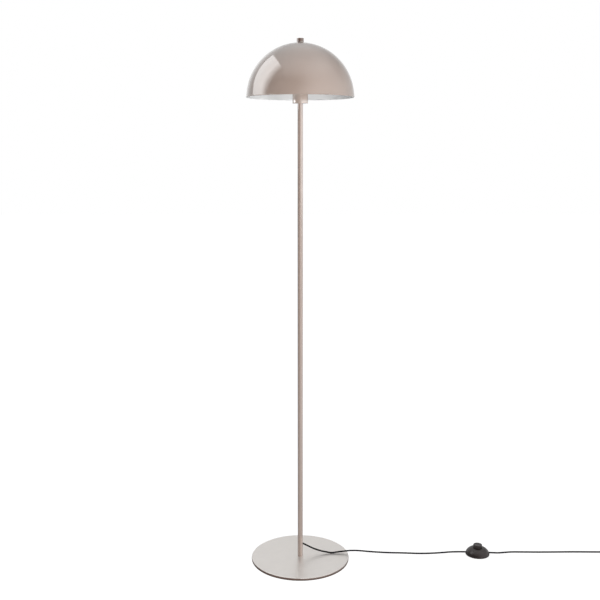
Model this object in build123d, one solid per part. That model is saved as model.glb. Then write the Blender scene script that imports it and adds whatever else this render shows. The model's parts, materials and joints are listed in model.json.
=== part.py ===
"""A mushroom floor lamp: a round steel foot, a pole in three sections, a domed metal shade on a
bracket that goes round the bulb, and a mains cord with a foot switch and a flat two-pin plug.

Millimetres, +Z up. The origin is on the floor, under the middle of the base. The lamp's front
faces -Y, and its cord leaves the pole at the back right.
"""

import os
from math import ceil, cos, pi, radians, sin, sqrt, tan

from build123d import *

# ---------------------------------------------------------------- clearances
fit = 0.05  # radial gap of a screwed, pressed or moulded fit
loose = 0.3  # gap round a part that passes another freely
hole_gap = 0.4  # radial gap of a hole round a screw or stud

# ---------------------------------------------------------------- base
base_radius = 144.0
base_thickness = 6.0
base_edge = 1.8
pad_thickness = 1.5
pad_inset = 0.8
pad_hole_radius = 14.0
base_screw_radius = 4.0
base_screw_length = 24.0
base_screw_head_radius = 8.0
base_screw_head_height = 4.4
base_screw_hex = 5.0
base_screw_hex_depth = 3.0
base_screw_sink = 0.3

# ---------------------------------------------------------------- pole
pole_radius = 7.5
pole_wall = 1.2
pole_lower_length = 442.0
pole_middle_length = 442.0
pole_upper_length = 434.5
foot_bush_length = 22.0
head_bush_length = 20.0
socket_length = 16.0
thread_radius = 5.0
thread_bore = 3.4
stud_reach = 14.0

# ---------------------------------------------------------------- cord
cord_radius = 2.3
cord_floor_gap = 0.1
exit_height = 45.5
exit_bearing = 38.0
exit_dip = 35.0
exit_reach = 3.0
exit_lead = 8.0
grommet_wall = 1.1
grommet_proud = 0.8
grommet_depth = 1.0
wire_radius = 0.9
wire_spread = 1.1

# ---------------------------------------------------------------- head
cup_radius = 21.3
cup_wall = 1.2
cup_height = 58.0
cup_edge = 1.5
bracket_thickness = 1.8
bracket_width = 10.0
bracket_foot_radius = 9.5
bracket_leg_reach = 18.0
bracket_span = 41.0
bracket_neck_rise = 8.0
bracket_flare = 24.0
bracket_corner = 24.0
bracket_bend = 12.0
bracket_foot_bend = 3.0
lock_washer_radius = 9.0
lock_washer_thickness = 1.0
lock_nut_flats = 14.0
lock_nut_height = 4.0
nipple_end_gap = 2.0

# ---------------------------------------------------------------- lampholder
holder_radius = 16.4
holder_neck_radius = 11.0
holder_taper = 5.0
holder_wall = 2.2
holder_cap_height = 18.0
holder_thread = 6.5
nipple_entry = 5.5
holder_floor = 3.5
holder_skirt = 31.0
shell_radius = 13.5
shell_wall = 0.3
shell_length = 21.0
contact_thickness = 0.8
contact_width = 4.0
contact_reach = 8.5
centre_contact_radius = 3.5
centre_contact_rise = 2.5
terminal_size = (5.0, 6.0, 5.5)
small_screw_radius = 1.45
small_screw_head_radius = 2.6
small_screw_head_height = 1.6
screw_slot_width = 0.8
screw_slot_depth = 0.7
terminal_screw_length = 3.0
sheath_entry = 8.0

# ---------------------------------------------------------------- shade
shade_drop = 16.0
shade_radius = 147.7
shade_wall = 1.0
shade_short_of_half = 2.7
shade_flat_radius = 9.2
bead_reach = 0.85
bead_height = 2.4
stud_radius = 3.0
stud_collar_radius = 8.5
stud_collar_height = 2.2
shade_washer_radius = 9.1
shade_washer_thickness = 1.6
finial_radius = 9.6
finial_height = 10.2
finial_edge = 0.8
finial_groove_height = 5.5
finial_groove_width = 0.9
finial_groove_depth = 0.7
finial_thread = 7.0
finial_end_gap = 1.0

# ---------------------------------------------------------------- bulb
tip_radius = 4.5
tip_height = 1.2
insulator_top_radius = 11.0
insulator_height = 3.3
insulator_lip = 1.0
bulb_cap_radius = 13.2
bulb_cap_wall = 0.4
bulb_cap_top = 25.5
collar_radius = 13.8
collar_wall = 1.6
collar_waist = 2.0
globe_radius = 30.0
globe_wall = 1.2
bulb_length = 110.0
globe_joint = 64.0
board_thickness = 1.6
led_count = 8
led_size = 3.0
led_height = 0.8
led_circle = 14.0

# ---------------------------------------------------------------- foot switch
switch_x = 533.5
switch_y = 24.5
switch_turn = -4.0
switch_lead = 11.5
switch_radius = 35.5
switch_wall = 2.0
switch_shoulder = 5.0
switch_mid_radius = 27.2
switch_mid_height = 16.8
switch_top_radius = 15.0
switch_top = 22.0
switch_skirt_gap = 1.6
switch_foot_height = 1.2
switch_foot_radius = 4.0
switch_foot_circle = 22.0
switch_floor = 2.0
switch_cord_gap = 1.0
button_radius = 13.3
button_top = 32.0
button_edge = 2.2
button_dish = 1.0
button_wall = 2.0
button_flange = 2.0
button_flange_reach = 1.7
button_flange_drop = 0.4
button_travel = 3.5
button_gap = 0.5
stem_radius = 3.2
stem_gap = 0.5
post_radius = 2.0
post_height = 16.0
rotor_radius = 8.0
rotor_height = 4.6
rotor_teeth = 8
tooth_height = 1.2
tooth_width = 2.0
tooth_inset = 0.1
bridge_reach = 9.5
bridge_width = 4.0
bridge_thickness = 0.6
bridge_gap = 0.1
contact_strip = 0.6
contact_strip_width = 3.0
contact_overlap = 2.5
spring_radius = 4.8
spring_wire = 0.4
spring_pitch = 2.3
case_screw_circle = 27.0
case_screw_length = 10.0
case_boss_radius = 3.5
case_boss_gap = 1.4
case_screw_sink = 0.2
clamp_reach = 24.5
clamp_size = (4.0, 15.0, 1.6)
clamp_screw_offset = 5.2
clamp_screw_length = 6.0
switch_terminal_reach = 17.5
switch_terminal_size = (5.0, 5.5, 4.5)
switch_terminal_screw_length = 2.2
sheath_end_reach = 22.5
neutral_offset = 12.5
neutral_bend = 4.0
neutral_first_bend = 1.05

# ---------------------------------------------------------------- coil and plug
coil_x = 962.0
coil_turns = 5.75
coil_least_radius = 18.6
coil_pitch = 5.2
coil_rise = 5.15
coil_arrival_y = 34.7
coil_spans_per_turn = 4
plug_y = -45.0
plug_x = 929.4
plug_width = 35.3
plug_thickness = 13.7
plug_length = 34.0
plug_front = 9.0
plug_back_width = 15.0
plug_bevel = 3.2
plug_back_corner = (3.0, 1.5)
relief_length = 26.0
relief_start_radius = 4.8
relief_end_radius = 3.2
relief_ribs = 5
relief_groove = 0.8
relief_groove_width = 1.4
pin_radius = 2.0
pin_spacing = 18.6
pin_length = 19.0
pin_bare = 9.0
pin_tip = 1.2
pin_core = 1.25
pin_root = 6.0
sleeve_radius = 1.7

# ---------------------------------------------------------------- heights that follow
base_top = pad_thickness + base_thickness
lower_seam = base_top + pole_lower_length
upper_seam = lower_seam + pole_middle_length
pole_top = upper_seam + pole_upper_length
pole_bore = pole_radius - pole_wall
cup_floor = pole_top + cup_wall
bracket_foot_top = cup_floor + bracket_thickness
lock_washer_top = bracket_foot_top + lock_washer_thickness
holder_bottom = lock_washer_top + lock_nut_height
holder_cap_top = holder_bottom + holder_cap_height
holder_floor_top = holder_cap_top + holder_floor
bulb_tip_z = holder_floor_top + centre_contact_rise
holder_top = holder_cap_top + holder_skirt
rim_z = pole_top + shade_drop
dome_z = rim_z - shade_short_of_half
shade_top = dome_z + sqrt(shade_radius**2 - shade_flat_radius**2)
collar_top = shade_top - shade_wall
bar_top = collar_top - stud_collar_height
finial_z = shade_top + shade_washer_thickness
cord_on_floor = cord_radius + cord_floor_gap
switch_floor_top = switch_foot_height + switch_floor
switch_cord_z = switch_floor_top + switch_cord_gap + cord_radius

# The cord's way from the pole to the foot switch, then on to the coil. Chosen by hand.
exit_run = Vector(
    cos(radians(exit_dip)) * cos(radians(exit_bearing)),
    cos(radians(exit_dip)) * sin(radians(exit_bearing)),
    -sin(radians(exit_dip)),
)
exit_point = Vector(
    pole_radius * cos(radians(exit_bearing)), pole_radius * sin(radians(exit_bearing)), exit_height
)
switch_run = Vector(cos(radians(switch_turn)), sin(radians(switch_turn)), 0)
switch_centre = Vector(switch_x, switch_y, switch_cord_z)
switch_in = switch_centre - switch_run * switch_radius
switch_out = switch_centre + switch_run * switch_radius

to_switch_points = [
    exit_point + exit_run * exit_reach,
    exit_point + exit_run * (exit_reach + exit_lead),
    (24.5, 13.4, 31.4),
    (45.0, 13.9, 21.4),
    (65.0, 14.5, 14.9),
    (82.0, 14.6, 11.1),
    (94.5, 13.7, 9.7),
    (108.5, 15.8, 11.6),
    (126.0, 17.5, 13.2),
    (146.0, 17.0, 15.5),
    (164.0, 18.4, 15.2),
    (181.0, 22.6, 12.2),
    (200.0, 28.4, 7.6),
    (222.0, 31.7, 4.2),
    (247.0, 32.3, cord_on_floor),
    (273.0, 29.7, cord_on_floor),
    (303.0, 28.9, cord_on_floor),
    (333.0, 26.5, cord_on_floor),
    (358.0, 24.7, cord_on_floor),
    (381.0, 25.4, cord_on_floor),
    (405.0, 27.2, cord_on_floor),
    (430.0, 31.0, cord_on_floor),
    (454.0, 35.4, cord_on_floor),
    (472.5, 34.6, 3.2),
    switch_in - switch_run * switch_lead,
    switch_in,
]
to_coil_points = [
    switch_out,
    switch_out + switch_run * switch_lead,
    (597.0, 25.0, 4.0),
    (615.5, 31.8, cord_on_floor),
    (638.0, 35.2, cord_on_floor),
    (668.0, 34.9, cord_on_floor),
    (716.0, 33.9, cord_on_floor),
    (771.0, 34.7, cord_on_floor),
    (828.0, 35.8, cord_on_floor),
    (880.0, 34.9, cord_on_floor),
    (924.0, coil_arrival_y, cord_on_floor),
    (coil_x - 2 * cord_radius, coil_arrival_y, cord_on_floor),
]


# ---------------------------------------------------------------- helpers
def up(shape, z):
    return Pos(0, 0, z) * shape


def rod(radius, low, high):
    """A cylinder on the Z axis from one height to another."""
    bottom = (Align.CENTER, Align.CENTER, Align.MIN)
    return up(Cylinder(radius, high - low, align=bottom), low)


def ring(outer, inner, low, high):
    return rod(outer, low, high) - rod(inner, low - 1, high + 1)


def block(size, centre):
    return Pos(*centre) * Box(*size)


def turned(*points):
    """A solid turned about the Z axis from straight lines through (radius, height) points."""
    return revolve(Plane.XZ * make_face(Polyline(*points, close=True)), Axis.Z)


def turned_lines(*lines):
    """A solid turned about the Z axis from an outline of lines and arcs drawn in XZ."""
    return revolve(Plane.XZ * make_face(lines), Axis.Z)


def group(*solids):
    return Compound(children=[s for s in solids])


def arc_radii(points):
    """The cord's radius at each corner of a route, as large as its two runs allow."""
    p = [Vector(q) for q in points]
    found = []
    for before, here, after in zip(p, p[1:], p[2:]):
        run_in, run_out = here - before, after - here
        turn = radians(run_in.get_angle(run_out))
        found.append(0.45 * min(run_in.length, run_out.length) / tan(turn / 2))
    return found


def tube_along(path, radius):
    section = Plane(origin=path @ 0, z_dir=path % 0) * Circle(radius)
    return sweep(section, path=path)


def cord_tube(name, points):
    """A stretch of cord along straight runs joined by tangent arcs."""
    radii = arc_radii(points)
    path = FilletPolyline(*points, radius=radii)
    tube = tube_along(path, cord_radius)
    full = pi * cord_radius**2 * path.length
    print(f"{name}: length {path.length:.1f}, radii " + " ".join(f"{r:.0f}" for r in radii))
    print(f"{name}: volume {tube.volume:.1f} of {full:.1f}")
    return tube, path.length


def biarc(start, start_way, end, end_way):
    """Two arcs that meet smoothly, from one point and direction to another."""
    span, ways = end - start, start_way + end_way
    square = 2 * (1 - start_way.dot(end_way))
    along = span.dot(ways)
    reach = (sqrt(along**2 + square * span.dot(span)) - along) / square
    near, far = start + start_way * reach, end - end_way * reach
    meet = (near + far) * 0.5
    return [
        TangentArc(start, meet, tangent=start_way),
        TangentArc(meet, end, tangent=(far - near).normalized()),
    ]


# ---------------------------------------------------------------- base and pole
def make_base():
    plate = rod(base_radius, pad_thickness, base_top)
    plate = fillet(plate.edges().group_by(Axis.Z)[-1], base_edge)
    sink_low = pad_thickness + base_screw_sink
    sink = turned(
        (0, pad_thickness - 1),
        (base_screw_head_radius + loose, pad_thickness - 1),
        (base_screw_head_radius + loose, sink_low),
        (base_screw_radius + loose, sink_low + base_screw_head_height),
        (0, sink_low + base_screw_head_height),
    )
    plate -= sink + rod(base_screw_radius + hole_gap, pad_thickness, base_top + 1)
    pad = ring(base_radius - pad_inset, pad_hole_radius, 0, pad_thickness)
    screw = turned(
        (0, sink_low),
        (base_screw_head_radius, sink_low),
        (base_screw_radius, sink_low + base_screw_head_height),
        (base_screw_radius, sink_low + base_screw_length),
        (0, sink_low + base_screw_length),
    )
    hexagon = RegularPolygon(base_screw_hex / 2, 6, major_radius=False)
    screw -= up(extrude(hexagon, base_screw_hex_depth), sink_low)
    return {"base_plate": plate, "base_pad": pad, "base_screw": screw}


def socket(low, high):
    """A threaded bush, pressed into an end of a pole section."""
    return ring(pole_bore - fit, thread_radius + fit, low, high)


def hollow_stud(low, high):
    return ring(thread_radius, thread_bore, low, high)


def make_pole():
    section = [(base_top, lower_seam), (lower_seam, upper_seam), (upper_seam, pole_top)]
    lower, middle, upper = [ring(pole_radius, pole_bore, *ends) for ends in section]
    along_exit = Plane(origin=exit_point, z_dir=exit_run)
    grommet_hole = cord_radius + fit + grommet_wall
    lower -= along_exit * Cylinder(grommet_hole + fit, 2 * pole_radius)
    grommet = along_exit * Cylinder(grommet_hole, 2 * pole_radius)
    grommet -= along_exit * Cylinder(cord_radius + fit, 3 * pole_radius)
    around = (exit_height - 2 * pole_radius, exit_height + 2 * pole_radius)
    grommet &= ring(pole_radius + grommet_proud, pole_bore - grommet_depth, *around)
    foot = ring(pole_bore - fit, base_screw_radius + fit, base_top, base_top + foot_bush_length)
    sockets, studs = [], []
    for seam in (lower_seam, upper_seam):
        sockets += [socket(seam - socket_length, seam), socket(seam, seam + socket_length)]
        studs.append(hollow_stud(seam - stud_reach, seam + stud_reach))
    head = socket(pole_top - head_bush_length, pole_top)
    return {
        "pole_lower": lower,
        "pole_middle": middle,
        "pole_upper": upper,
        "pole_foot_bush": foot,
        "pole_joint_sockets": group(*sockets),
        "pole_joint_studs": group(*studs),
        "pole_head_bush": head,
        "cord_grommet": grommet,
    }


def make_cord_in_pole():
    """The cord from its exit up the pole to the lampholder."""
    on_axis = exit_height + pole_radius * tan(radians(exit_dip))
    corner = Vector(0, 0, on_axis)
    top = Vector(0, 0, holder_bottom + sheath_entry)
    start = exit_point + exit_run * exit_reach
    turn = radians(90 - exit_dip)
    bend = 0.45 * (corner - start).length / tan(turn / 2)
    path = FilletPolyline(start, corner, top, radius=[bend])
    print(f"cord_in_pole: length {path.length:.1f}, bend {bend:.1f}")
    return {"cord_in_pole": tube_along(path, cord_radius)}


# ---------------------------------------------------------------- head
def make_bracket():
    """The strip that rises inside the cup, goes round the bulb and carries the shade."""
    low = cup_floor + bracket_thickness / 2
    high = bar_top - bracket_thickness / 2
    neck = pole_top + cup_height + bracket_neck_rise
    half = FilletPolyline(
        (0, 0, low),
        (bracket_leg_reach, 0, low),
        (bracket_leg_reach, 0, neck),
        (bracket_span, 0, neck + bracket_flare),
        (bracket_span, 0, high),
        (0, 0, high),
        radius=[bracket_foot_bend, bracket_bend, bracket_bend, bracket_corner],
    )
    section = Plane(origin=half @ 0, x_dir=(0, 1, 0), z_dir=half % 0)
    strip = sweep(section * Rectangle(bracket_width, bracket_thickness), path=half)
    bracket = strip + mirror(strip, about=Plane.YZ)
    bracket += rod(bracket_foot_radius, cup_floor, bracket_foot_top)
    bracket -= rod(thread_radius + hole_gap, cup_floor - 1, bracket_foot_top + 1)
    bracket -= rod(stud_radius + fit, bar_top - bracket_thickness - 1, bar_top + 1)
    return bracket


def make_head():
    cup = rod(cup_radius, pole_top, pole_top + cup_height)
    cup = fillet(cup.edges().group_by(Axis.Z)[0], cup_edge)
    cup -= rod(cup_radius - cup_wall, cup_floor, pole_top + cup_height + 1)
    cup -= rod(thread_radius + hole_gap, pole_top - 1, cup_floor + 1)
    nipple = hollow_stud(pole_top - head_bush_length + nipple_end_gap, holder_bottom + nipple_entry)
    washer = ring(
        lock_washer_radius, thread_radius + hole_gap, bracket_foot_top, lock_washer_top
    )
    nut = extrude(RegularPolygon(lock_nut_flats / 2, 6, major_radius=False), lock_nut_height)
    nut = up(nut, lock_washer_top) - rod(thread_radius + fit, lock_washer_top - 1, holder_bottom + 1)
    collar = rod(stud_collar_radius, bar_top, collar_top)
    stud = rod(stud_radius, bar_top - bracket_thickness, finial_z + finial_thread)
    return {
        "holder_cup": cup,
        "head_nipple": nipple,
        "lock_washer": washer,
        "lock_nut": nut,
        "shade_bracket": make_bracket(),
        "bracket_stud": collar + stud,
    }


# ---------------------------------------------------------------- lampholder
def down_screw(z, length):
    """A small screw whose head's underside is at z and whose shank goes down."""
    head_top = z + small_screw_head_height
    head = rod(small_screw_head_radius, z, head_top)
    slot = (2 * small_screw_head_radius + 1, screw_slot_width, 2 * screw_slot_depth)
    head -= block(slot, (0, 0, head_top))
    return head + rod(small_screw_radius, z - length, z)


def side_screw(x, y, z):
    """A terminal screw whose head faces -Y, with its head against the block's side at y."""
    screw = down_screw(0, terminal_screw_length)
    return Pos(x, y, z) * Rot(90, 0, 0) * screw


def make_holder():
    cap_outer = turned(
        (0, holder_bottom),
        (holder_neck_radius, holder_bottom),
        (holder_radius, holder_bottom + holder_taper),
        (holder_radius, holder_cap_top),
        (0, holder_cap_top),
    )
    cap = cap_outer - rod(
        holder_radius - holder_wall, holder_bottom + holder_thread, holder_cap_top + 1
    )
    cap -= rod(thread_radius + fit, holder_bottom - 1, holder_bottom + holder_thread + 1)
    shell_outer = shell_radius + shell_wall
    shell_low = holder_floor_top + contact_thickness
    body = rod(holder_radius, holder_cap_top, holder_top)
    body -= rod(shell_outer + fit, holder_floor_top, holder_top + 1)
    slot = (contact_thickness + 2 * fit, contact_width + 2 * fit, holder_floor + 2)
    slot_z = holder_cap_top + holder_floor / 2
    for side in (-1, 1):
        body -= block(slot, (side * contact_reach, 0, slot_z))
    shell = ring(shell_outer, shell_radius, shell_low, shell_low + shell_length)
    leg_high = bulb_tip_z - contact_thickness / 2
    centre = block(
        (contact_thickness, contact_width, leg_high - holder_cap_top),
        (-contact_reach, 0, (leg_high + holder_cap_top) / 2),
    )
    centre += block(
        (contact_reach + contact_thickness / 2, contact_width, contact_thickness),
        (-(contact_reach + contact_thickness / 2) / 2, 0, leg_high),
    )
    centre += rod(centre_contact_radius, bulb_tip_z - contact_thickness, bulb_tip_z)
    side_leg = block(
        (contact_thickness, contact_width, shell_low - holder_cap_top),
        (contact_reach, 0, (shell_low + holder_cap_top) / 2),
    )
    side_low = contact_reach - contact_thickness / 2
    side_foot = block(
        (shell_outer - side_low, contact_width, contact_thickness),
        ((shell_outer + side_low) / 2, 0, holder_floor_top + contact_thickness / 2),
    )
    side_contact = (side_leg + side_foot) & rod(shell_outer, holder_cap_top, shell_low)
    terminal_z = holder_cap_top - terminal_size[2] / 2
    terminals, screws, wires = [], [], []
    face = -terminal_size[1] / 2
    wire_top = holder_cap_top - terminal_size[2]
    sheath_top = holder_bottom + sheath_entry
    wire_level = (sheath_top + wire_top) / 2
    for side in (-1, 1):
        x = side * contact_reach
        solid = block(terminal_size, (x, 0, terminal_z))
        solid -= Pos(x, face, terminal_z) * Rot(-90, 0, 0) * Cylinder(small_screw_radius + fit, 6.0)
        terminals.append(solid)
        screws.append(side_screw(x, face, terminal_z))
        path = FilletPolyline(
            (side * wire_spread, 0, sheath_top),
            (side * wire_spread, 0, wire_level),
            (x, 0, wire_level),
            (x, 0, wire_top),
            radius=[0.9 * (wire_level - sheath_top), 0.9 * (wire_top - wire_level)],
        )
        wires.append(tube_along(path, wire_radius))
    return {
        "holder_cap": cap,
        "holder_body": body,
        "holder_screw_shell": shell,
        "holder_centre_contact": centre,
        "holder_side_contact": side_contact,
        "holder_terminals": group(*terminals),
        "holder_terminal_screws": group(*screws),
        "holder_wires": group(*wires),
    }


# ---------------------------------------------------------------- shade
def dome_point(radius, z):
    return (sqrt(radius**2 - (z - dome_z) ** 2), z)


def make_shade():
    inner = shade_radius - shade_wall
    hole = stud_radius + hole_gap
    bead_top = dome_point(shade_radius, rim_z + bead_height)
    bead_out = (shade_radius + bead_reach, rim_z + bead_height / 2)
    rim_out = (dome_point(shade_radius, rim_z)[0] - 0.2, rim_z)
    rim_in = dome_point(inner, rim_z)
    flat_in = sqrt(inner**2 - (collar_top - dome_z) ** 2)
    half_way = radians(45)
    middle = [(r * sin(half_way), dome_z + r * cos(half_way)) for r in (shade_radius, inner)]
    outline = [
        Line((hole, shade_top), (shade_flat_radius, shade_top)),
        ThreePointArc((shade_flat_radius, shade_top), middle[0], bead_top),
        ThreePointArc(bead_top, bead_out, rim_out),
        Line(rim_out, rim_in),
        ThreePointArc(rim_in, middle[1], (flat_in, collar_top)),
        Line((flat_in, collar_top), (hole, collar_top)),
        Line((hole, collar_top), (hole, shade_top)),
    ]
    shade = turned_lines(*outline)
    washer = ring(shade_washer_radius, stud_radius + loose, shade_top, finial_z)
    finial_top = finial_z + finial_height
    finial = rod(finial_radius, finial_z, finial_top)
    finial = fillet(finial.edges().group_by(Axis.Z)[-1], finial_edge)
    groove_low = finial_z + finial_groove_height
    finial -= ring(
        finial_radius + 1,
        finial_radius - finial_groove_depth,
        groove_low,
        groove_low + finial_groove_width,
    )
    finial -= rod(stud_radius + fit, finial_z - 1, finial_z + finial_thread + finial_end_gap)
    return {"shade": shade, "shade_washer": washer, "finial": finial}


# ---------------------------------------------------------------- bulb
def make_bulb():
    z = bulb_tip_z
    cap_low = z + tip_height + insulator_height
    cap_high = z + bulb_cap_top
    tip = rod(tip_radius, z, z + tip_height)
    insulator = turned(
        (0, z + tip_height),
        (tip_radius + insulator_lip, z + tip_height),
        (insulator_top_radius, cap_low),
        (0, cap_low),
    )
    cap = rod(bulb_cap_radius, cap_low, cap_high) - rod(
        bulb_cap_radius - bulb_cap_wall, cap_low + bulb_cap_wall, cap_high + 1
    )
    globe_z = z + bulb_length - globe_radius
    joint = z + globe_joint
    joint_radius = sqrt(globe_radius**2 - (joint - globe_z) ** 2)
    waist = ((collar_radius + joint_radius) / 2 - collar_waist, (cap_high + joint) / 2)
    collar = turned_lines(
        Line((0, cap_high), (collar_radius, cap_high)),
        ThreePointArc((collar_radius, cap_high), waist, (joint_radius, joint)),
        Line((joint_radius, joint), (0, joint)),
        Line((0, joint), (0, cap_high)),
    )
    hollow = turned_lines(
        Line((0, cap_high + collar_wall), (collar_radius - collar_wall, cap_high + collar_wall)),
        ThreePointArc(
            (collar_radius - collar_wall, cap_high + collar_wall),
            (waist[0] - collar_wall, waist[1]),
            (joint_radius - 2 * collar_wall, joint - collar_wall),
        ),
        Line((joint_radius - 2 * collar_wall, joint - collar_wall), (0, joint - collar_wall)),
        Line((0, joint - collar_wall), (0, cap_high + collar_wall)),
    )
    collar -= hollow
    globe = up(Sphere(globe_radius) - Sphere(globe_radius - globe_wall), globe_z)
    globe -= rod(globe_radius + 1, z, joint)
    board_top = joint + board_thickness
    board = rod(joint_radius - 2 * globe_wall, joint, board_top)
    for chip in PolarLocations(led_circle, led_count):
        board += up(chip * Box(led_size, led_size, led_height), board_top + led_height / 2)
    return {
        "bulb_tip": tip,
        "bulb_insulator": insulator,
        "bulb_cap": cap,
        "bulb_collar": collar,
        "bulb_globe": globe,
        "bulb_led_board": board,
    }


# ---------------------------------------------------------------- foot switch
def switch_dome(inset, low):
    """The cover's outer form, drawn in by a wall."""
    r, top = switch_radius - inset, switch_top - inset
    shoulder = (r, switch_shoulder)
    middle = (switch_mid_radius - 0.7 * inset, switch_mid_height - 0.7 * inset)
    crown = (switch_top_radius - 0.3 * inset, top)
    return turned_lines(
        Line((0, low), (r, low)),
        Line((r, low), shoulder),
        ThreePointArc(shoulder, middle, crown),
        Line(crown, (0, top)),
        Line((0, top), (0, low)),
    )


def case_places():
    return PolarLocations(case_screw_circle, 3, start_angle=90)


def make_switch_case():
    boss_low = switch_floor_top + case_boss_gap
    cover = switch_dome(0, switch_skirt_gap) - switch_dome(switch_wall, switch_skirt_gap - 1)
    bosses = [place * rod(case_boss_radius, boss_low, switch_top) for place in case_places()]
    for boss in bosses:
        cover += boss & switch_dome(switch_wall / 2, switch_skirt_gap)
    for place in case_places():
        cover -= place * rod(small_screw_radius + fit, boss_low - 1, boss_low + case_screw_length)
    cover -= rod(button_radius + button_gap, 0, switch_top + 1)
    cord_way = Pos(0, 0, switch_cord_z) * Rot(0, 90, 0)
    cover -= cord_way * Cylinder(cord_radius + fit, 3 * switch_radius)
    floor = rod(switch_radius - switch_wall - loose, switch_foot_height, switch_floor_top)
    floor += rod(post_radius, switch_floor_top, post_height)
    recess_top = switch_foot_height + small_screw_head_height + case_screw_sink
    for place in case_places():
        floor += place * rod(case_boss_radius, switch_floor_top, boss_low)
    for place in case_places():
        floor -= place * rod(small_screw_head_radius + loose, 0, recess_top)
        floor -= place * rod(small_screw_radius + loose, 0, boss_low + 1)
    groove = cord_way * Cylinder(cord_radius + fit, 3 * switch_radius)
    for side in (-1, 1):
        saddle = block(
            (clamp_size[0], clamp_size[1], switch_cord_z - switch_floor_top),
            (side * clamp_reach, 0, (switch_cord_z + switch_floor_top) / 2),
        )
        floor += saddle - groove
        for across in (-1, 1):
            place = Pos(side * clamp_reach, across * clamp_screw_offset, 0)
            floor -= place * rod(small_screw_radius + fit, switch_floor_top, switch_cord_z + 1)
    screws, feet = [], []
    for place in case_places():
        screw = down_screw(0, case_screw_length)
        screws.append(place * Pos(0, 0, recess_top) * Rot(180, 0, 0) * screw)
    for place in PolarLocations(switch_foot_circle, 3, start_angle=30):
        feet.append(place * rod(switch_foot_radius, 0, switch_foot_height))
    return {
        "switch_cover": cover,
        "switch_base": floor,
        "switch_case_screws": group(*screws),
        "switch_feet": group(*feet),
    }


def make_button():
    flange_top = switch_top - switch_wall - loose
    roof = button_top - button_dish - button_wall
    button = rod(button_radius, flange_top - button_flange, button_top)
    button = fillet(button.edges().group_by(Axis.Z)[-1], button_edge)
    flange_low = flange_top - button_flange
    button += rod(button_radius + button_flange_reach, flange_low, flange_top - button_flange_drop)
    button -= rod(button_radius - button_wall, 0, roof)
    dish_radius = (button_radius - 2 * button_edge) ** 2 / (2 * button_dish)
    button -= up(Sphere(dish_radius), button_top - button_dish + dish_radius)
    stem_low = switch_rotor_top() + button_travel + stem_gap
    button += ring(stem_radius, post_radius + loose, stem_low, roof + button_wall / 4)
    return button, roof


def switch_rotor_low():
    return switch_floor_top + contact_strip + bridge_gap + bridge_thickness


def switch_rotor_top():
    return switch_rotor_low() + rotor_height


def make_switch_works():
    button, roof = make_button()
    low, top = switch_rotor_low(), switch_rotor_top()
    rotor = ring(rotor_radius, post_radius + fit, low, top)
    for place in PolarLocations(rotor_radius - tooth_width / 2 - tooth_inset, rotor_teeth):
        rotor += place * block((tooth_width, tooth_width, tooth_height), (0, 0, top + tooth_height / 2))
    bridge = block((2 * bridge_reach, bridge_width, bridge_thickness), (0, 0, 0))
    bridge += block((bridge_width, 2 * bridge_reach, bridge_thickness), (0, 0, 0))
    bridge = up(bridge, low - bridge_thickness / 2) - rod(post_radius + loose, 0, low + 1)
    coil_height = roof - top - 2 * spring_wire
    helix = up(Helix(spring_pitch, coil_height, spring_radius), top + spring_wire)
    section = Plane(origin=helix @ 0, z_dir=helix % 0) * Circle(spring_wire)
    spring = sweep(section, path=helix, is_frenet=True)
    contacts, terminals, terminal_screws, clamps, clamp_screws, cords = [], [], [], [], [], []
    contact_low = bridge_reach - contact_overlap
    contact_high = switch_terminal_reach + switch_terminal_size[0] / 2
    terminal_low = switch_floor_top + contact_strip
    for side in (-1, 1):
        contacts.append(
            block(
                (contact_high - contact_low, contact_strip_width, contact_strip),
                (side * (contact_high + contact_low) / 2, 0, switch_floor_top + contact_strip / 2),
            )
        )
        x = side * switch_terminal_reach
        centre_z = terminal_low + switch_terminal_size[2] / 2
        terminal = block(switch_terminal_size, (x, 0, centre_z))
        screw_z = terminal_low + switch_terminal_size[2]
        screw_end = screw_z - switch_terminal_screw_length
        place = Pos(x, 0, 0)
        terminal -= place * rod(small_screw_radius + fit, screw_end - hole_gap, screw_z + 1)
        terminals.append(terminal)
        terminal_screws.append(place * down_screw(screw_z, switch_terminal_screw_length))
        clamp_low = switch_cord_z + cord_radius
        clamp = block(clamp_size, (side * clamp_reach, 0, clamp_low + clamp_size[2] / 2))
        for across in (-1, 1):
            spot = Pos(side * clamp_reach, across * clamp_screw_offset, 0)
            clamp -= spot * rod(small_screw_radius + fit, 0, clamp_low + clamp_size[2] + 1)
            clamp_screws.append(spot * down_screw(clamp_low + clamp_size[2], clamp_screw_length))
        clamps.append(clamp)
        length = switch_radius - sheath_end_reach
        sheath = Pos(side * (sheath_end_reach + length / 2), 0, switch_cord_z) * Rot(0, 90, 0)
        cords.append(sheath * Cylinder(cord_radius, length))
    wires = make_switch_wires(terminal_low)
    return {
        "switch_button": button,
        "switch_spring": spring,
        "switch_rotor": rotor,
        "switch_rotor_contact": bridge,
        "switch_contacts": group(*contacts),
        "switch_terminals": group(*terminals),
        "switch_terminal_screws": group(*terminal_screws),
        "switch_cord_clamps": group(*clamps),
        "switch_clamp_screws": group(*clamp_screws),
        "switch_cord_ends": group(*cords),
        "switch_wires": wires,
    }


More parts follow.
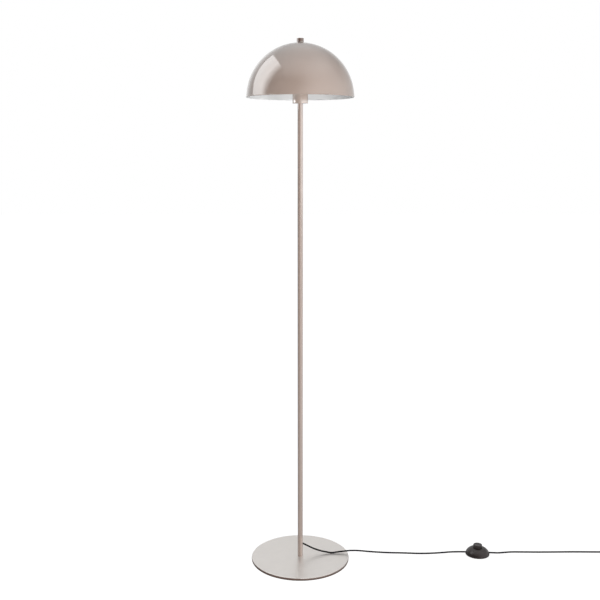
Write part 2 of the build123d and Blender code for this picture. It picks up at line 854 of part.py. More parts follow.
def make_switch_wires(terminal_low):
    """The two live ends, and the neutral wire that goes past the contacts."""
    live = []
    terminal_face = switch_terminal_reach + switch_terminal_size[0] / 2
    wire_z = switch_cord_z
    for side in (-1, 1):
        length = sheath_end_reach - terminal_face
        place = Pos(side * (terminal_face + length / 2), wire_radius - cord_radius / 2, wire_z)
        live.append(place * Rot(0, 90, 0) * Cylinder(wire_radius, length))
    y = cord_radius / 2
    turn_reach = sheath_end_reach - wire_radius - 4 * fit
    past = FilletPolyline(
        (-sheath_end_reach, y, wire_z),
        (-turn_reach, y, wire_z),
        (-turn_reach, neutral_offset, wire_z),
        (turn_reach, neutral_offset, wire_z),
        (turn_reach, y, wire_z),
        (sheath_end_reach, y, wire_z),
        radius=[neutral_first_bend, neutral_bend, neutral_bend, neutral_first_bend],
    )
    return group(*live, tube_along(past, wire_radius))


# ---------------------------------------------------------------- coil and plug
def coil_centre():
    outer = coil_least_radius + coil_pitch * coil_turns / 2
    return Vector(coil_x, coil_arrival_y + outer, cord_on_floor)


def coil_at(turn):
    """The coil's centreline: in to the middle turn, up a layer there, and out again."""
    angle = 2 * pi * turn - pi / 2
    from_middle = turn - coil_turns / 2
    radius = coil_least_radius + coil_pitch * abs(from_middle)
    climb = min(1.0, max(0.0, 0.5 + 2 * from_middle))
    lift = coil_rise * climb * climb * (3 - 2 * climb)
    return coil_centre() + Vector(radius * cos(angle), radius * sin(angle), lift)


def coil_way(turn):
    step = 0.002
    ahead, behind = min(turn + step, coil_turns), max(turn - step, 0.0)
    return (coil_at(ahead) - coil_at(behind)).normalized()


def make_coil():
    spans = ceil(coil_turns * coil_spans_per_turn)
    stops = [coil_turns * i / spans for i in range(spans + 1)]
    ways = [coil_way(s) for s in stops]
    ways[0], ways[-1] = Vector(1, 0, 0), Vector(0, -1, 0)
    points = [coil_at(s) for s in stops]
    lead = 2 * cord_radius
    parts = [Line(points[0] - ways[0] * lead, points[0])]
    for i in range(spans):
        parts += biarc(points[i], ways[i], points[i + 1], ways[i + 1])
    parts.append(Line(points[-1], points[-1] + ways[-1] * lead))
    path = Wire(parts)
    print_coil_gap()
    return tube_along(path, cord_radius), path.length, points[-1] + ways[-1] * lead


def print_coil_gap():
    """Prints the coil's least gap to itself, over points more than half a turn apart."""
    per_turn = 90
    line = [coil_at(i / per_turn) for i in range(int(coil_turns * per_turn) + 1)]
    least = min(
        (line[i] - line[j]).length
        for i in range(len(line))
        for j in range(i + per_turn // 2, len(line))
    )
    print(f"cord_coil: least gap to itself {least - 2 * cord_radius:.2f}")


def make_cords():
    first, first_length = cord_tube("cord_to_switch", to_switch_points)
    second, second_length = cord_tube("cord_to_plug", to_coil_points)
    coil, coil_length, coil_end = make_coil()
    relief_tip = Vector(plug_x, plug_y + plug_length + relief_length, plug_thickness / 2)
    tail_points = [
        coil_end,
        coil_end + Vector(0, -10.0, 0),
        coil_end + Vector(0.4, -24.0, 0.3),
        coil_end + Vector(0.7, -34.0, -0.1),
        relief_tip + Vector(0, 9.5, 0),
        relief_tip,
    ]
    tail, tail_length = cord_tube("cord_tail", tail_points)
    total = first_length + 2 * switch_radius + second_length + coil_length + tail_length
    print(f"cord: {total:.0f} from the pole to the plug's strain relief, coil {coil_length:.0f}")
    return {
        "cord_to_switch": first,
        "cord_to_plug": second,
        "cord_coil": coil,
        "cord_tail": tail,
    }


def make_plug():
    """Drawn lying flat with its pins towards +X, then turned to point to -Y."""
    half, back = plug_width / 2, plug_back_width / 2
    corner_along, corner_across = plug_back_corner
    outline = Polyline(
        (0, -half),
        (0, half),
        (-plug_front, half),
        (-plug_length + corner_along, back),
        (-plug_length, back - corner_across),
        (-plug_length, -back + corner_across),
        (-plug_length + corner_along, -back),
        (-plug_front, -half),
        close=True,
    )
    body = extrude(make_face(outline), plug_thickness)
    flat_edges = body.edges().group_by(Axis.Z)
    body = chamfer(flat_edges[0] + flat_edges[-1], plug_bevel)
    middle = plug_thickness / 2
    groove_step = relief_length / relief_ribs
    relief = turned(
        (0, 0),
        (relief_start_radius, 0),
        (relief_end_radius, relief_length),
        (0, relief_length),
    )
    for i in range(1, relief_ribs):
        z = i * groove_step
        radius = relief_start_radius + (relief_end_radius - relief_start_radius) * i / relief_ribs
        low, high = z - relief_groove_width / 2, z + relief_groove_width / 2
        relief -= ring(radius + 2, radius - relief_groove, low, high)
    relief = Pos(-plug_length, 0, middle) * Rot(0, -90, 0) * relief
    pins, sleeves = [], []
    for side in (-1, 1):
        place = Pos(0, side * pin_spacing / 2, middle) * Rot(0, 90, 0)
        body -= place * rod(pin_core + fit, -pin_root, 1)
        tip = rod(pin_radius, pin_length - pin_bare, pin_length)
        tip = fillet(tip.edges().group_by(Axis.Z)[-1], pin_tip)
        pins.append(place * (tip + rod(pin_core, -pin_root, pin_length - pin_bare)))
        sleeves.append(place * ring(sleeve_radius, pin_core + fit, 0, pin_length - pin_bare))
    where = Pos(plug_x, plug_y, 0) * Rot(0, 0, -90)
    return {
        "plug_body": where * body,
        "plug_relief": where * relief,
        "plug_pins": where * group(*pins),
        "plug_pin_sleeves": where * group(*sleeves),
    }


# ---------------------------------------------------------------- the whole lamp
def main():
    nodes = {}
    for made in (make_base, make_pole, make_cord_in_pole, make_head, make_holder, make_shade):
        nodes.update(made())
    nodes.update(make_bulb())
    switch_place = Pos(switch_x, switch_y, 0) * Rot(0, 0, switch_turn)
    for made in (make_switch_case, make_switch_works):
        nodes.update({name: switch_place * shape for name, shape in made().items()})
    nodes.update(make_cords())
    nodes.update(make_plug())
    os.makedirs("parts", exist_ok=True)
    for name, shape in nodes.items():
        export_step(shape, f"parts/{name}.step")
    print(f"{len(nodes)} nodes, overall height {finial_z + finial_height:.2f}")


main()
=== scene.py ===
"""The floor lamp's looks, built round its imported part. Metres, in the part's own frame."""

import json
from math import asin, cos, pi, radians, sin, sqrt

import bmesh
import bpy
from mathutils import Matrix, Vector


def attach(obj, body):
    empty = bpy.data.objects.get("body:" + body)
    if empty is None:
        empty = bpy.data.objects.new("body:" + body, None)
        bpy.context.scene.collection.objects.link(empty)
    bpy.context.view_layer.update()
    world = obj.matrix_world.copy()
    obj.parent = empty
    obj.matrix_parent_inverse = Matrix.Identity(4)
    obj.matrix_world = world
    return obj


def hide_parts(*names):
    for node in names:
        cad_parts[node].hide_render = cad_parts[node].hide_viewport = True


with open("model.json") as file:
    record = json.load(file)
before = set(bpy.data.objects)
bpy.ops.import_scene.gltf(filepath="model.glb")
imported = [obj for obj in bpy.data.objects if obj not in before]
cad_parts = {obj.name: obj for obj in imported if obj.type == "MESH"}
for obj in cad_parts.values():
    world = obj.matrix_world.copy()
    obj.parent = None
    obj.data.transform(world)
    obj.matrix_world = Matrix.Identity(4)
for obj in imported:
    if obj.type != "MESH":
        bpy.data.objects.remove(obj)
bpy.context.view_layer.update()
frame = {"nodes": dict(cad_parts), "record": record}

nodes = frame["nodes"]
scene = bpy.context.scene
scene.view_settings.view_transform = "Standard"

# ---------------------------------------------------------------- camera
CAMERA_PLACE = (-0.0007, -2.4884, 1.2025)
CAMERA_DIP = 9.62  # degrees below level
LENS, SENSOR_WIDTH = 53.358, 36.0  # millimetres


def make_camera():
    """Stands 1.2 m up and 2.5 m in front, and looks down a little, as in the photograph."""
    lens = bpy.data.cameras.new("camera")
    lens.sensor_width = SENSOR_WIDTH
    lens.lens = LENS
    camera = bpy.data.objects.new("camera", lens)
    camera.location = CAMERA_PLACE
    camera.rotation_euler = (radians(90 - CAMERA_DIP), 0, 0)
    scene.collection.objects.link(camera)
    scene.camera = camera


make_camera()

# ---------------------------------------------------------------- cord
CORD_RADIUS = 0.0023
LYING = 0.0024  # the height of the cord's middle where it lies on the floor

# It leaves the pole's foot backwards, to the right and down.
POLE_RADIUS, EXIT_HEIGHT = 0.0075, 0.0455
EXIT_BEARING, EXIT_DIP = radians(38), radians(35)
EXIT = Vector(
    (POLE_RADIUS * cos(EXIT_BEARING), POLE_RADIUS * sin(EXIT_BEARING), EXIT_HEIGHT)
)
EXIT_RUN = Vector(
    (
        cos(EXIT_DIP) * cos(EXIT_BEARING),
        cos(EXIT_DIP) * sin(EXIT_BEARING),
        -sin(EXIT_DIP),
    )
)

# It enters and leaves the switch in line with it.
SWITCH = Vector((0.5335, 0.0245, 0.0065))
SWITCH_BEARING = radians(-4)
SWITCH_RUN = Vector((cos(SWITCH_BEARING), sin(SWITCH_BEARING), 0))
SWITCH_HALF, SWITCH_LEAD = 0.0355, 0.0115
SWITCH_IN, SWITCH_OUT = SWITCH - SWITCH_RUN * SWITCH_HALF, SWITCH + SWITCH_RUN * SWITCH_HALF

TO_SWITCH = [
    EXIT + EXIT_RUN * 0.003,
    EXIT + EXIT_RUN * 0.011,
    (0.0245, 0.0134, 0.0314),
    (0.0450, 0.0139, 0.0214),
    (0.0650, 0.0145, 0.0149),
    (0.0820, 0.0146, 0.0115),
    (0.0945, 0.0137, 0.0097),
    (0.1085, 0.0158, 0.0111),
    (0.1260, 0.0175, 0.0126),
    (0.1460, 0.0170, 0.0155),
    (0.1640, 0.0184, 0.0152),
    (0.1810, 0.0226, 0.0122),
    (0.2000, 0.0284, 0.0076),
    (0.2220, 0.0317, 0.0042),
    (0.2470, 0.0323, LYING),
    (0.2730, 0.0297, LYING),
    (0.3030, 0.0289, LYING),
    (0.3330, 0.0265, LYING),
    (0.3580, 0.0247, LYING),
    (0.3810, 0.0254, LYING),
    (0.4050, 0.0272, LYING),
    (0.4300, 0.0310, LYING),
    (0.4540, 0.0354, LYING),
    (0.4725, 0.0346, 0.0032),
    SWITCH_IN - SWITCH_RUN * SWITCH_LEAD,
    SWITCH_IN,
]
TO_COIL = [
    SWITCH_OUT,
    SWITCH_OUT + SWITCH_RUN * SWITCH_LEAD,
    (0.5970, 0.0250, 0.0040),
    (0.6155, 0.0318, LYING),
    (0.6380, 0.0352, LYING),
    (0.6680, 0.0349, LYING),
    (0.7160, 0.0339, LYING),
    (0.7710, 0.0347, LYING),
    (0.8280, 0.0358, LYING),
    (0.8800, 0.0349, LYING),
    (0.9240, 0.0347, LYING),
    (0.9574, 0.0347, LYING),
]
COIL_X, COIL_ARRIVAL_Y = 0.962, 0.0347
COIL_TURNS, COIL_LEAST_RADIUS, COIL_PITCH, COIL_RISE = 5.75, 0.0186, 0.0052, 0.00515
COIL_CLIMB = 0.5  # turns in which it climbs from the lower layer to the upper one
COIL_POINTS_PER_TURN = 24
COIL_END = Vector((0.92845, 0.06365, 0.00755))
TAIL = [
    COIL_END,
    COIL_END + Vector((0, -0.010, 0)),
    COIL_END + Vector((0.0004, -0.024, 0.0003)),
    COIL_END + Vector((0.0007, -0.034, -0.0001)),
    (0.9294, 0.0245, 0.00685),
    (0.9294, 0.0150, 0.00685),
]


def smooth_step(share):
    share = min(1.0, max(0.0, share))
    return share * share * (3 - 2 * share)


def coil_points():
    """The coil's turns: in to the middle turn, up a layer there, and out again."""
    outer = COIL_LEAST_RADIUS + COIL_PITCH * COIL_TURNS / 2
    centre = Vector((COIL_X, COIL_ARRIVAL_Y + outer, LYING))
    count = round(COIL_TURNS * COIL_POINTS_PER_TURN)
    outside = 1 / cos(pi / COIL_POINTS_PER_TURN)  # the spline runs inside its points
    points = []
    for i in range(count + 1):
        turn = COIL_TURNS * i / count
        angle = 2 * pi * turn - pi / 2
        from_middle = turn - COIL_TURNS / 2
        radius = (COIL_LEAST_RADIUS + COIL_PITCH * abs(from_middle)) * outside
        lift = COIL_RISE * smooth_step(0.5 + from_middle / COIL_CLIMB)
        points.append(centre + Vector((radius * cos(angle), radius * sin(angle), lift)))
    return points


def make_cord(name, points):
    curve = bpy.data.curves.new(name, "CURVE")
    curve.dimensions = "3D"
    curve.bevel_depth = 1.0  # times each point's own radius
    curve.bevel_resolution = 6
    curve.use_fill_caps = True
    spline = curve.splines.new("NURBS")
    spline.points.add(len(points) - 1)
    for place, point in zip(spline.points, points):
        place.co = (*point, 1.0)
        place.radius = CORD_RADIUS
    spline.order_u = 3
    spline.use_endpoint_u = True
    spline.resolution_u = 12
    cord = bpy.data.objects.new(name, curve)
    scene.collection.objects.link(cord)
    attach(cord, "lamp")
    return cord


def make_cords():
    first = make_cord("cord_pole_to_switch", TO_SWITCH)
    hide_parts("cord_to_switch")
    second = make_cord("cord_switch_to_plug", TO_COIL + coil_points() + TAIL)
    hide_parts("cord_to_plug", "cord_coil", "cord_tail")
    return first, second


cords = make_cords()


# ---------------------------------------------------------------- node trees
class Tree:
    """A node tree with short ways to add to it. An input that is given a socket is linked to it,
    and one that is given anything else is set to that."""

    def __init__(self, owner):
        owner.use_nodes = True
        self.tree = owner.node_tree

    def feed(self, socket, value):
        if isinstance(value, bpy.types.NodeSocket):
            self.tree.links.new(value, socket)
        else:
            socket.default_value = value

    def node(self, kind, inputs=(), **settings):
        made = self.tree.nodes.new("ShaderNode" + kind)
        for name, value in settings.items():
            setattr(made, name, value)
        for name, value in dict(inputs).items():
            self.feed(made.inputs[name], value)
        return made

    def spread(self, value, span, result, **settings):
        """What lies in one span of values, spread over another."""
        inputs = {"Value": value, "From Min": span[0], "From Max": span[1]}
        inputs |= {"To Min": result[0], "To Max": result[1]}
        return self.node("MapRange", inputs, **settings).outputs["Result"]

    def maths(self, operation, *values):
        return self.node("Math", enumerate(values), operation=operation).outputs[0]

    def along(self, place, direction):
        """How far a place lies in a direction."""
        inputs = {0: place, 1: direction}
        return self.node("VectorMath", inputs, operation="DOT_PRODUCT").outputs["Value"]

    def mix(self, share, first, second):
        """From the first colour to the second."""
        made = self.node("Mix", data_type="RGBA")
        sockets = [s for s in made.inputs if s.enabled]
        for socket, value in zip(sockets, (share, first, second)):
            is_colour = isinstance(value, (list, tuple))
            self.feed(socket, (*value, 1) if is_colour else value)
        return next(s for s in made.outputs if s.enabled)


# ---------------------------------------------------------------- materials
SPECULAR = "Specular IOR Level"
METAL = {"Metallic": 1.0}
WHOLE = (0, 1)
NOISE_SPAN = (0.25, 0.75)  # where most of a noise's values lie
DRIFT_DETAIL, RELIEF_DETAIL = 3.0, 2.0


class Look(Tree):
    """A material on Blender's own shader, with helpers for its variation. A stretch draws its
    noise out in flat bands round the Z axis."""

    def __init__(self, name, colour, roughness, settings=()):
        self.material = bpy.data.materials.new(name)
        super().__init__(self.material)
        self.shader = self.tree.nodes["Principled BSDF"]
        self.colour = colour
        self.roughness = roughness
        self.set("Base Color", (*colour, 1))
        self.set("Roughness", roughness)
        for socket, value in dict(settings).items():
            self.set(socket, value)
        self.place = self.node("TexCoord").outputs["Object"]

    def set(self, name, value):
        self.feed(self.shader.inputs[name], value)

    def noise(self, scale, detail, stretch):
        place = self.place
        if stretch != 1:
            inputs = {"Vector": place, "Scale": (1, 1, stretch)}
            place = self.node("Mapping", inputs).outputs["Vector"]
        inputs = {"Vector": place, "Scale": scale, "Detail": detail}
        return self.node("TexNoise", inputs).outputs["Fac"]

    def mottle(self, scale, amount, stretch=1):
        """The colour drifts a little either way."""
        dark = [c * (1 - amount) for c in self.colour]
        light = [c * (1 + amount) for c in self.colour]
        noise = self.noise(scale, DRIFT_DETAIL, stretch)
        self.set("Base Color", self.mix(self.spread(noise, NOISE_SPAN, WHOLE), dark, light))

    def scuff(self, scale, amount, stretch=1):
        """The roughness drifts a little either way."""
        drift = (self.roughness - amount, self.roughness + amount)
        noise = self.noise(scale, DRIFT_DETAIL, stretch)
        self.set("Roughness", self.spread(noise, NOISE_SPAN, drift))

    def bump(self, scale, depth, stretch=1):
        """A fine relief, its depth in metres."""
        noise = self.noise(scale, RELIEF_DETAIL, stretch)
        inputs = {"Height": noise, "Distance": depth, "Strength": 1.0}
        self.set("Normal", self.node("Bump", inputs).outputs["Normal"])


def coat(roughness, ior):
    """A full coat of clear lacquer."""
    return {"Coat Weight": 1.0, "Coat Roughness": roughness, "Coat IOR": ior}


# Name, colour, roughness, then scale and amount of the colour's drift and of the roughness's,
# scale and depth of the relief, and what else the shader needs.
PLAIN_LOOKS = (
    (
        "greige_metal", (0.44, 0.32, 0.262), 0.34,
        (55, 0.02), (90, 0.04), (1500, 0.00002), coat(0.1, 2.7),
    ),
    # Painted light: a lighter copy of the greige paint for the cup, which is the same paint as
    # the pole
    (
        "greige_cup", (0.6, 0.45, 0.37), 0.34,
        (55, 0.02), (90, 0.04), (1500, 0.00002), coat(0.1, 3.2),
    ),
    # Painted light: a much paler copy of the greige paint for the plate, which is the same paint
    # as the pole
    (
        "greige_plate", (0.87, 0.833, 0.798), 0.35,
        (40, 0.015), (60, 0.03), (1500, 0.000008), {SPECULAR: 0.2},
    ),
    (
        "shade_paint", (0.435, 0.333, 0.282), 0.3,
        (30, 0.012), (25, 0.02), (420, 0.000003), {SPECULAR: 0.1} | coat(0.05, 1.8),
    ),
    (
        "shade_inside", (0.93, 0.93, 0.93), 0.55,
        (30, 0.01), (60, 0.05), (900, 0.00002), {},
    ),
    (
        "white_metal", (0.80, 0.80, 0.79), 0.5,
        (60, 0.012), (90, 0.05), (1200, 0.00002), {},
    ),
    (
        "steel", (0.56, 0.56, 0.57), 0.32,
        (300, 0.06), (400, 0.08), (2500, 0.00001), METAL,
    ),
    (
        "pale_nylon", (0.82, 0.81, 0.79), 0.42,
        (200, 0.015), (250, 0.05), (1800, 0.00001), {"Subsurface Weight": 0.1},
    ),
    (
        "brass", (0.70, 0.53, 0.27), 0.28,
        (220, 0.06), (300, 0.08), (1800, 0.000008), METAL,
    ),
    (
        "nickel", (0.66, 0.65, 0.62), 0.2,
        (260, 0.03), (300, 0.06), (1500, 0.000006), METAL,
    ),
    (
        "black_plastic", (0.025, 0.017, 0.016), 0.34,
        (90, 0.12), (160, 0.05), (2200, 0.00003), {SPECULAR: 0.4},
    ),
    (
        "black_cord", (0.009, 0.007, 0.008), 0.5,
        (120, 0.15), (150, 0.07), (700, 0.00002), {SPECULAR: 0.06},
    ),
    (
        "black_rubber", (0.024, 0.023, 0.023), 0.75,
        (120, 0.15), (150, 0.08), (1400, 0.00005), {},
    ),
    (
        "bulb_white", (0.72, 0.72, 0.70), 0.38,
        (120, 0.01), (150, 0.05), (1500, 0.00001), {},
    ),
    (
        "opal", (0.74, 0.74, 0.72), 0.22,
        (60, 0.01), (60, 0.04), (600, 0.000004), {"Subsurface Weight": 0.15},
    ),
)
# Painted shade: the plate's side is painted dark, and its top is painted pale and more metallic,
# as light and shade
PLATE_SIDE_PAINTED_SHADE, PLATE_UP_SPAN, PLATE_UP_METALLIC = (0.20, 0.135, 0.11), (0.4, 0.97), 0.6
WIRE_GREY, WIRE_ROUGHNESS = (0.1, 0.1, 0.1), 0.4
WIRE_BLUE, WIRE_BROWN, WIRE_EDGE = (0.02, 0.10, 0.42), (0.15, 0.055, 0.025), 0.00005

# The plane between the blue and the brown wire in the switch, as a direction and a distance.
ACROSS_SWITCH = Vector((-SWITCH_RUN.y, SWITCH_RUN.x, 0))
SWITCH_SPLIT = SWITCH.dot(ACROSS_SWITCH) + 0.0008


def paint_plate_light_and_shade(plate):
    """Painted light and shade on paint that is the same all round: pale and more metallic where
    it faces up, darker round its side.
    """
    paint = plate.shader.inputs["Base Color"].links[0].from_socket
    normal = plate.node("NewGeometry").outputs["Normal"]
    height = plate.node("SeparateXYZ", {"Vector": normal}).outputs["Z"]
    up = plate.spread(height, PLATE_UP_SPAN, WHOLE)
    plate.set("Base Color", plate.mix(up, PLATE_SIDE_PAINTED_SHADE, paint))
    plate.set("Metallic", plate.spread(up, WHOLE, (0, PLATE_UP_METALLIC)))


def make_bronze():
    """Dark and lacquered, and turned on a lathe."""
    settings = {"Metallic": 0.15, SPECULAR: 0.25} | coat(0.15, 1.9)
    bronze = Look("bronze", (0.18, 0.105, 0.078), 0.4, settings)
    bronze.mottle(160, 0.06, stretch=12)
    bronze.scuff(500, 0.07, stretch=14)
    bronze.bump(900, 0.000006, stretch=14)
    return bronze


def make_wire(name, across, middle):
    """Blue on one side of a plane and brown on the other."""
    wire = Look(name, WIRE_GREY, WIRE_ROUGHNESS)
    wire.scuff(300, 0.06)
    wire.bump(1800, 0.00001)
    edge = (middle - WIRE_EDGE, middle + WIRE_EDGE)
    share = wire.spread(wire.along(wire.place, across), edge, WHOLE)
    wire.set("Base Color", wire.mix(share, WIRE_BLUE, WIRE_BROWN))
    return wire


def make_looks():
    looks = {}
    for name, colour, roughness, mottle, scuff, bump, settings in PLAIN_LOOKS:
        look = looks[name] = Look(name, colour, roughness, settings)
        look.mottle(*mottle)
        look.scuff(*scuff)
        look.bump(*bump)
    paint_plate_light_and_shade(looks["greige_plate"])
    looks["bronze"] = make_bronze()
    looks["wire"] = make_wire("wire", (1, 0, 0), 0.0)
    looks["switch_wire"] = make_wire("switch_wire", -ACROSS_SWITCH, -SWITCH_SPLIT)
    return looks


looks = make_looks()


def dress(piece, *names):
    slots = piece.data.materials
    for i, name in enumerate(names):
        if i < len(slots):
            slots[i] = looks[name].material
        else:
            slots.append(looks[name].material)


def dress_nodes():
    for part in frame["record"]["subparts"]:
        slot = part["material_slot"]
        if slot in looks:
            dress(nodes[part["node"]], slot)
    # Painted light: the plate gets a paler copy of the greige paint
    dress(nodes["base_plate"], "greige_plate")
    # Painted light: the cup gets a lighter copy of the greige paint
    dress(nodes["holder_cup"], "greige_cup")
    dress(nodes["switch_wires"], "switch_wire")
    for cord in cords:
        dress(cord, "black_cord")


dress_nodes()

# ---------------------------------------------------------------- shade
AROUND = 256  # faces round the shade
DOME_RINGS, BEAD_RINGS = 110, 12
SHARP = radians(32)
SHADE_RADIUS, SHADE_WALL, SHADE_CENTRE = 0.1477, 0.001, 1.3393
RIM = 1.342  # the height of its lower edge
BEAD_HEIGHT, BEAD_SWELL, RIM_INSET = 0.0024, 0.00085, 0.0002
FLAT_RADIUS, HOLE_RADIUS = 0.0092, 0.0034
OUTSIDE, INSIDE = 0, 1  # its two materials


def lathe(name, rings):
    """A closed mesh turned about the Z axis. rings holds (radius, height, material) in turn, and
    a material is that of the strip from there to the next ring."""
    turns = [2 * pi * i / AROUND for i in range(AROUND)]
    mesh = bmesh.new()
    loops = [
        [mesh.verts.new((radius * cos(turn), radius * sin(turn), height)) for turn in turns]
        for radius, height, _ in rings
    ]
    for k, (_, _, material) in enumerate(rings):
        low, high = loops[k], loops[(k + 1) % len(loops)]
        for i in range(AROUND):
            j = (i + 1) % AROUND
            face = mesh.faces.new((low[i], low[j], high[j], high[i]))
            face.material_index = material
            face.smooth = True
    bmesh.ops.recalc_face_normals(mesh, faces=mesh.faces)
    data = bpy.data.meshes.new(name)
    mesh.to_mesh(data)
    mesh.free()
    data.set_sharp_from_angle(angle=SHARP)
    made = bpy.data.objects.new(name, data)
    scene.collection.objects.link(made)
    return made


def dome_rings(radius, start, end, material):
    """Rings on a sphere, between two angles from its top."""
    rings = []
    for i in range(DOME_RINGS + 1):
        angle = start + (end - start) * i / DOME_RINGS
        rings.append((radius * sin(angle), SHADE_CENTRE + radius * cos(angle), material))
    return rings


def bead_rings(start_radius):
    """The rolled bead, from the dome's lowest outer ring down to the rim."""
    end_radius = sqrt(SHADE_RADIUS**2 - (RIM - SHADE_CENTRE) ** 2) - RIM_INSET
    rings = []
    for i in range(1, BEAD_RINGS + 1):
        share = i / BEAD_RINGS
        swell = BEAD_SWELL * sin(pi * share)
        radius = start_radius + (end_radius - start_radius) * share + swell
        height = RIM + BEAD_HEIGHT / 2 + BEAD_HEIGHT / 2 * cos(pi * share)
        rings.append((radius, height, OUTSIDE))
    return rings


def make_shade():
    """A thin dome with a flat top, a hole there and a bead at its rim, greige and white."""
    top = SHADE_CENTRE + sqrt(SHADE_RADIUS**2 - FLAT_RADIUS**2)
    start = asin(FLAT_RADIUS / SHADE_RADIUS)
    end = pi / 2 - asin((RIM + BEAD_HEIGHT - SHADE_CENTRE) / SHADE_RADIUS)
    outer = dome_rings(SHADE_RADIUS, start, end, OUTSIDE)

    inner_radius, ceiling = SHADE_RADIUS - SHADE_WALL, top - SHADE_WALL
    start = pi / 2 - asin((RIM - SHADE_CENTRE) / inner_radius)
    end = asin(sqrt(inner_radius**2 - (ceiling - SHADE_CENTRE) ** 2) / inner_radius)
    inner = dome_rings(inner_radius, start, end, INSIDE)

    rings = [(HOLE_RADIUS, top, OUTSIDE), *outer, *bead_rings(outer[-1][0])]
    rings += [*inner, (HOLE_RADIUS, ceiling, OUTSIDE)]
    shade = lathe("shade_dome", rings)
    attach(shade, "shade")
    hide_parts("shade")
    dress(shade, "shade_paint", "shade_inside")


make_shade()

# ---------------------------------------------------------------- studio
WHITE = (1, 1, 1, 1)
EVEN_STRENGTH = 0.28

# What gloss mirrors: each glow's direction, the cosines of the angle to it over which it rises,
# and its strengths there.
GLOWS = (
    ((0.927, -0.375, 0), (0.1, 1.0), (0.2, 1.5)),  # wide, at the right
    ((0, 0, 1), (0.5, 1.0), (0.0, 1.3)),  # above
    ((0, 1, 0), (0.3, 1.0), (0.0, 0.68)),  # behind
    ((-0.62, 0.74, 0.25), (0.8, 0.95), (0.0, 0.32)),  # small, behind at the left
)

FLOOR_HALF = 14.0
FLOOR_PAINT = (0.8, 0.8, 0.8, 1)
FLOOR_GLOW, FLOOR_GLOW_SEEN = 0.1, 0.7
FLOOR_X_SPAN, FLOOR_GLOW_MIRRORED = (-0.2, 1.2), (0.0, 0.5)  # brighter towards the right

LIGHT_SIDE = 1.0
# Name, place, the point it aims at, power in watts, spread.
LIGHTS = (
    ("front", (0.1, -1.8, 1.45), (0, 0, 1.3), 11, pi),
    ("low right", (1.3, -2.2, 0.5), (0, 0, 1.25), 7.5, radians(90)),
)

SOFTBOX_CORNERS = [
    (-1.49, -0.48, 1.39),
    (-1.49, 0.62, 1.39),
    (-0.57, 0.70, 2.27),
    (-0.57, -0.48, 2.27),
]
SOFTBOX_Y_SPAN = (-0.48, 0.7)
SOFTBOX_STRENGTH = 5.3
# How bright it is, as a share of its strength, from its front edge to its back edge.
SOFTBOX_SHARES = ((0.0, 0.0), (0.15, 0.35), (0.31, 0.85), (0.4, 0.88), (1.0, 0.47))


def make_world():
    """White to the camera, and through clear things. Gloss mirrors a studio that is dark in front
    of the lamp at the left and bright at the right. To the rest it is even."""
    world = bpy.data.worlds.new("studio")
    scene.world = world
    tree = Tree(world)
    tree.tree.nodes.clear()
    path = tree.node("LightPath").outputs
    place = tree.node("TexCoord").outputs["Generated"]
    glows = []
    for direction, span, strengths in GLOWS:
        towards = tree.along(place, Vector(direction).normalized())
        glows.append(tree.spread(towards, span, strengths, interpolation_type="SMOOTHSTEP"))
    right, above, behind, corner = glows
    glow = tree.maths(
        "ADD", tree.maths("ADD", right, above), tree.maths("ADD", behind, corner)
    )
    seen, gloss, even = [
        tree.node("Background", {"Color": WHITE, "Strength": strength}).outputs[0]
        for strength in (1.0, glow, EVEN_STRENGTH)
    ]
    inputs = {"Fac": path["Is Glossy Ray"], 1: even, 2: gloss}
    unseen = tree.node("MixShader", inputs).outputs[0]
    clear = tree.maths("MAXIMUM", path["Is Camera Ray"], path["Is Transmission Ray"])
    both = tree.node("MixShader", {"Fac": clear, 1: unseen, 2: seen}).outputs[0]
    tree.node("OutputWorld", {"Surface": both})


def make_panel(name, corners):
    """A flat piece of the studio, and the empty tree of its material."""
    data = bpy.data.meshes.new(name)
    data.from_pydata(corners, [], [(0, 1, 2, 3)])
    panel = bpy.data.objects.new(name, data)
    scene.collection.objects.link(panel)
    material = bpy.data.materials.new(name)
    data.materials.append(material)
    tree = Tree(material)
    tree.tree.nodes.clear()
    return panel, tree


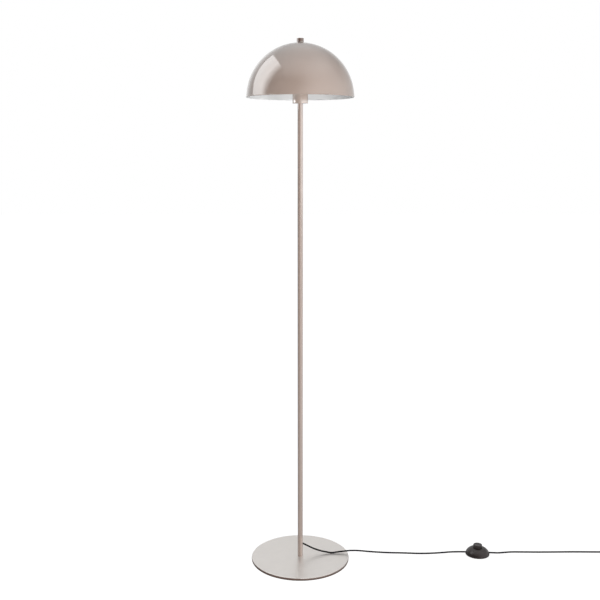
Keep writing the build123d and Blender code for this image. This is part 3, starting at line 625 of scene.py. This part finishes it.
def make_floor():
    """White and matt. It glows a little to the camera, and keeps a soft shadow."""
    half = FLOOR_HALF
    corners = [(-half, -half, 0), (half, -half, 0), (half, half, 0), (-half, half, 0)]
    floor, tree = make_panel("floor", corners)
    path = tree.node("LightPath").outputs
    place = tree.node("TexCoord").outputs["Object"]
    x = tree.node("SeparateXYZ", {0: place}).outputs["X"]
    right = tree.spread(x, FLOOR_X_SPAN, FLOOR_GLOW_MIRRORED)
    unseen = tree.maths("MULTIPLY_ADD", path["Is Glossy Ray"], right, FLOOR_GLOW)
    strength = tree.maths("MULTIPLY_ADD", path["Is Camera Ray"], FLOOR_GLOW_SEEN, unseen)
    matt = tree.node("BsdfDiffuse", {"Color": FLOOR_PAINT}).outputs[0]
    glow = tree.node("Emission", {"Strength": strength}).outputs[0]
    both = tree.node("AddShader", {0: matt, 1: glow}).outputs[0]
    tree.node("OutputMaterial", {"Surface": both})


def make_light(name, place, aim, power, spread):
    data = bpy.data.lights.new(name, "AREA")
    data.size = LIGHT_SIDE
    data.energy = power
    data.spread = spread
    light = bpy.data.objects.new(name, data)
    light.location = place
    light.rotation_euler = (Vector(aim) - Vector(place)).to_track_quat("-Z", "Y").to_euler()
    light.visible_camera = False
    light.visible_glossy = False
    scene.collection.objects.link(light)


def make_softbox():
    """The panel at the left that the glossy dome mirrors. Its front edge is soft."""
    softbox, tree = make_panel("softbox", SOFTBOX_CORNERS)
    place = tree.node("TexCoord").outputs["Object"]
    y = tree.node("SeparateXYZ", {0: place}).outputs["Y"]
    shares = tree.node("ValToRGB", {"Fac": tree.spread(y, SOFTBOX_Y_SPAN, WHOLE)})
    ramp = shares.color_ramp
    ramp.interpolation = "B_SPLINE"
    for position, _ in SOFTBOX_SHARES[2:]:  # a new ramp has two elements
        ramp.elements.new(position)
    for element, (position, share) in zip(ramp.elements, SOFTBOX_SHARES):
        element.position, element.color = position, (share, share, share, 1)
    strength = tree.maths("MULTIPLY", shares.outputs["Color"], SOFTBOX_STRENGTH)
    glow = tree.node("Emission", {"Strength": strength}).outputs[0]
    tree.node("OutputMaterial", {"Surface": glow})
    softbox.visible_camera = False
    softbox.visible_diffuse = False
    softbox.visible_shadow = False
    softbox.visible_transmission = False


make_world()
make_floor()
for light in LIGHTS:
    make_light(*light)
make_softbox()
